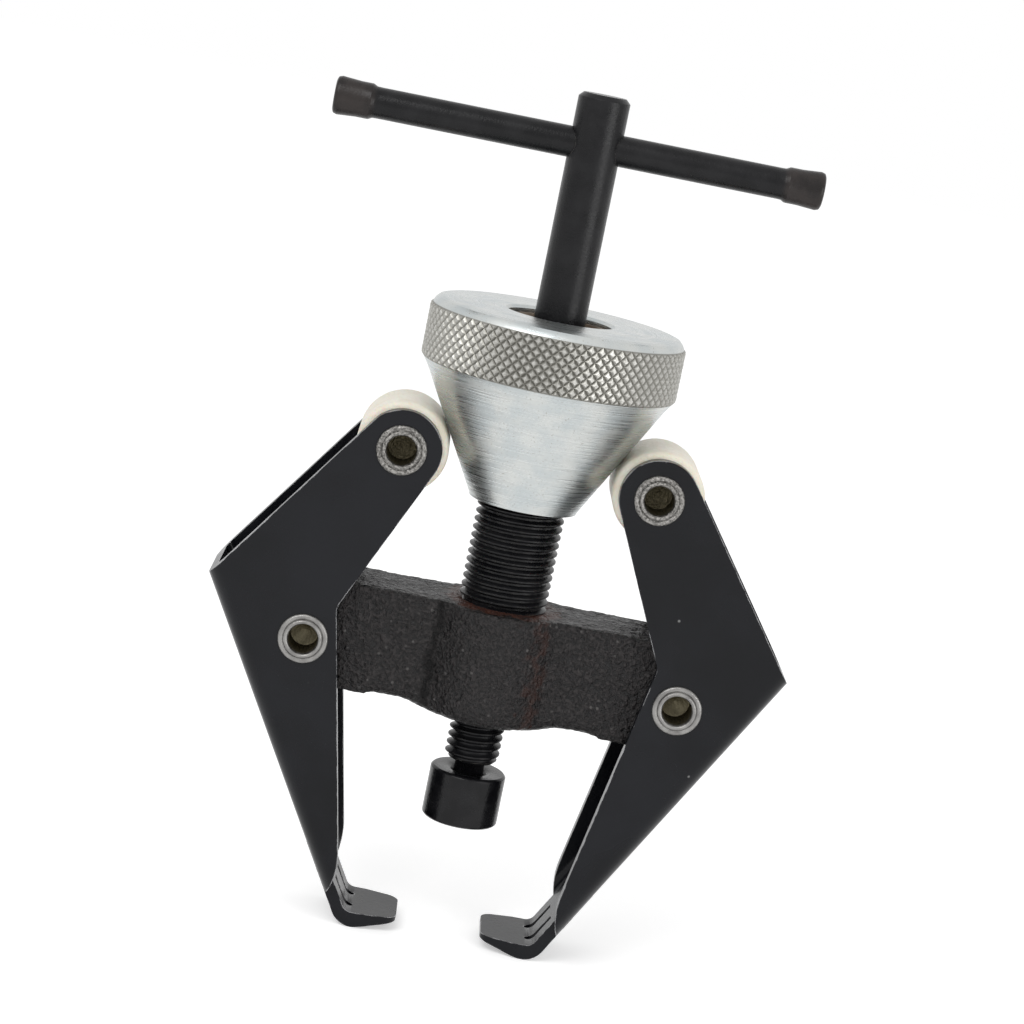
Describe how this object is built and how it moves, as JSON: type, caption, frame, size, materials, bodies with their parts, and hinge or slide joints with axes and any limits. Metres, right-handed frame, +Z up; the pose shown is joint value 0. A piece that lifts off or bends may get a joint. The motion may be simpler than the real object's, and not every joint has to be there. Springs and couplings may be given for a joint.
{
  "type": "gear puller",
  "caption": "Small jaw puller: a cone nut on a threaded spindle spreads rollers atop folded steel arms to close the jaws, and a forcing screw with a tommy bar pushes a swivel pad.",
  "frame": {"origin": "middle of the pressure pad's pressing face, at rest", "axes": "+Z up along the forcing screw, X along the crossbar, Y along the arm pivots, with the side usually seen towards -Y"},
  "size_m": [0.1046, 0.046, 0.1547],
  "materials": {
    "rough_casting": "black-painted rough casting, matte, touched with rust by the spindle",
    "black_oxide_steel": "blackened machined steel, satin",
    "zinc_plated_steel": "turned, zinc plated, knurled rim",
    "black_painted_sheet": "satin black paint, worn bright on the cut edges",
    "cream_nylon": "off-white nylon, slightly stained",
    "bare_rivet_steel": "rolled bright steel, dull inside the drilled ends"
  },
  "bodies": {
    "yoke": {"crossbar": "rough_casting", "spindle": "black_oxide_steel"},
    "pad": {"pressure_pad": "black_oxide_steel"},
    "screw": {"forcing_screw": "black_oxide_steel"},
    "handle": {"tommy_bar": "black_oxide_steel"},
    "nut": {"cone_nut": "zinc_plated_steel"},
    "arm_left": {"left_arm": "black_painted_sheet", "left_roller_rivet": "bare_rivet_steel", "left_pivot_rivet": "bare_rivet_steel"},
    "arm_right": {"right_arm": "black_painted_sheet", "right_roller_rivet": "bare_rivet_steel", "right_pivot_rivet": "bare_rivet_steel"},
    "roller_left": {"left_roller": "cream_nylon"},
    "roller_right": {"right_roller": "cream_nylon"}
  },
  "joints": [
    {"name": "nut_travel", "type": "slide", "parent": "yoke", "child": "nut", "axis": [0, 0, 1], "range_m": [-0.006, 0.007]},
    {"name": "left_arm_swing", "type": "hinge", "parent": "yoke", "child": "arm_left", "pos_m": [-0.0337, 0, 0.03], "axis": [0, 1, 0], "range_deg": [-6.3, 7.35]},
    {"name": "right_arm_swing", "type": "hinge", "parent": "yoke", "child": "arm_right", "pos_m": [0.0337, 0, 0.03], "axis": [0, -1, 0], "range_deg": [-6.3, 7.35]},
    {"name": "left_roller_spin", "type": "hinge", "parent": "arm_left", "child": "roller_left", "pos_m": [-0.02295, 0, 0.0664], "axis": [0, 1, 0], "continuous": true},
    {"name": "right_roller_spin", "type": "hinge", "parent": "arm_right", "child": "roller_right", "pos_m": [0.02295, 0, 0.0664], "axis": [0, 1, 0], "continuous": true},
    {"name": "pad_travel", "type": "slide", "parent": "yoke", "child": "pad", "axis": [0, 0, -1], "range_m": [-0.00905, 0.0188]},
    {"name": "screw_turn", "type": "hinge", "parent": "pad", "child": "screw", "pos_m": [0, 0, 0.1], "axis": [0, 0, -1], "range_deg": [-2160, 4500]},
    {"name": "tommy_slide", "type": "slide", "parent": "screw", "child": "handle", "axis": [1, 0, 0], "range_m": [-0.0283, 0.0338]}
  ],
  "couplings": [
    {"joint": "left_arm_swing", "follows": "nut_travel", "rad_per_m": 18.153},
    {"joint": "right_arm_swing", "follows": "nut_travel", "rad_per_m": 18.153},
    {"joint": "pad_travel", "follows": "screw_turn", "m_per_rad": 0.00023873}
  ]
}
